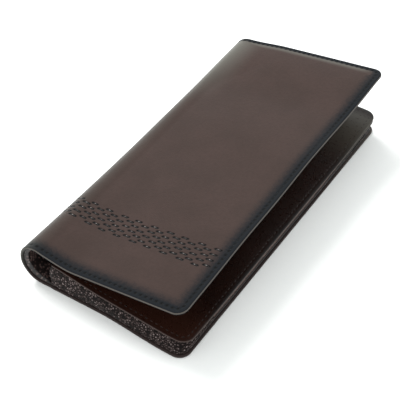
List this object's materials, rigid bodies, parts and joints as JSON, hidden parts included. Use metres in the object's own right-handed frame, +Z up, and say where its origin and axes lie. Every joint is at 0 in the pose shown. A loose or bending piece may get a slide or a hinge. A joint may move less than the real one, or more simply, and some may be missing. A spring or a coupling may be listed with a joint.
{
  "type": "long wallet",
  "caption": "Long bifold leather wallet lying slightly open, with a rolled spine, a bill compartment, a zipped coin pocket and card slots in the flap.",
  "frame": {"origin": "centre of the wallet's outline, on the surface the back cover rests on", "axes": "+Z up out of the surface, +Y along the spine from the end with the decorative stitching, +X from the spine to the opening edge"},
  "size_m": [0.0893, 0.19, 0.0352],
  "materials": {
    "cover_leather": "smooth burnished calf, darker at the edges",
    "lining_leather": "fine grained, satin",
    "slot_leather": "fine grained, satin",
    "pocket_leather": "smooth glazed",
    "gusset_leather": "pebbled, satin",
    "seam_thread": "twisted polyester thread",
    "accent_thread": "waxed thread",
    "bonded_board": "bonded leather board",
    "bag_cloth": "plain woven lining cloth",
    "zip_tape": "herringbone tape",
    "zip_teeth": "antique metal teeth",
    "zip_metal": "antique plated metal"
  },
  "bodies": {
    "back": {"cover_back": "cover_leather", "lining_back": "lining_leather", "board_back": "bonded_board", "thread_back": "seam_thread", "gusset_spine": "gusset_leather", "gusset_near": "gusset_leather", "gusset_far": "gusset_leather"},
    "fold_lower": {"cover_fold_lower": "cover_leather", "lining_fold_lower": "lining_leather"},
    "fold_middle": {"cover_fold_middle": "cover_leather", "lining_fold_middle": "lining_leather"},
    "fold_upper": {"cover_fold_upper": "cover_leather", "lining_fold_upper": "lining_leather"},
    "flap": {"cover_flap": "cover_leather", "lining_flap": "lining_leather", "board_flap": "bonded_board", "thread_flap": "seam_thread", "accent_stitches": "accent_thread", "slip_pocket": "slot_leather", "card_slot_near_1": "slot_leather", "card_slot_near_2": "slot_leather", "card_slot_near_3": "slot_leather", "card_slot_near_4": "slot_leather", "card_slot_far_1": "slot_leather", "card_slot_far_2": "slot_leather", "card_slot_far_3": "slot_leather", "card_slot_far_4": "slot_leather"},
    "coin_pocket": {"coin_front": "pocket_leather", "coin_back": "pocket_leather", "coin_rim": "pocket_leather", "coin_bag": "bag_cloth", "thread_coin": "seam_thread", "zip_tape_upper": "zip_tape", "zip_tape_lower": "zip_tape", "zip_teeth_upper": "zip_teeth", "zip_teeth_lower": "zip_teeth", "zip_stop_near": "zip_metal", "zip_stop_far": "zip_metal"},
    "slider": {"zip_slider": "zip_metal"},
    "pull": {"zip_pull": "zip_metal"}
  },
  "joints": [
    {"name": "spine_fold_1", "type": "hinge", "parent": "back", "child": "fold_lower", "pos_m": [-0.0354, 0, 0.001], "axis": [0, -1, 0], "range_deg": [-3.5, 42.1]},
    {"name": "spine_fold_2", "type": "hinge", "parent": "fold_lower", "child": "fold_middle", "pos_m": [-0.04306, 0, 0.00818], "axis": [0, -1, 0], "range_deg": [-3.5, 42.1]},
    {"name": "spine_fold_3", "type": "hinge", "parent": "fold_middle", "child": "fold_upper", "pos_m": [-0.04365, 0, 0.01716], "axis": [0, -1, 0], "range_deg": [-3.5, 42.1]},
    {"name": "spine_fold_4", "type": "hinge", "parent": "fold_upper", "child": "flap", "pos_m": [-0.03857, 0, 0.02334], "axis": [0, -1, 0], "range_deg": [-3.5, 42.1]},
    {"name": "pocket_lift", "type": "hinge", "parent": "back", "child": "coin_pocket", "pos_m": [-0.0295, 0, 0.0094], "axis": [0, -1, 0], "range_deg": [-0.7, 8.01], "deforming": ["gusset_near", "gusset_far"]},
    {"name": "zip_travel", "type": "slide", "parent": "coin_pocket", "child": "slider", "axis": [0, 1, 0], "range_m": [0, 0.146]},
    {"name": "pull_swing", "type": "hinge", "parent": "slider", "child": "pull", "pos_m": [-0.03213, -0.0735, 0.01329], "axis": [0.0958, 0, 0.9954], "range_deg": [0, 40]}
  ],
  "couplings": [
    {"joint": "spine_fold_2", "follows": "spine_fold_1", "ratio": 1},
    {"joint": "spine_fold_3", "follows": "spine_fold_1", "ratio": 1},
    {"joint": "spine_fold_4", "follows": "spine_fold_1", "ratio": 1},
    {"joint": "pocket_lift", "follows": "spine_fold_1", "ratio": 0.19002}
  ]
}
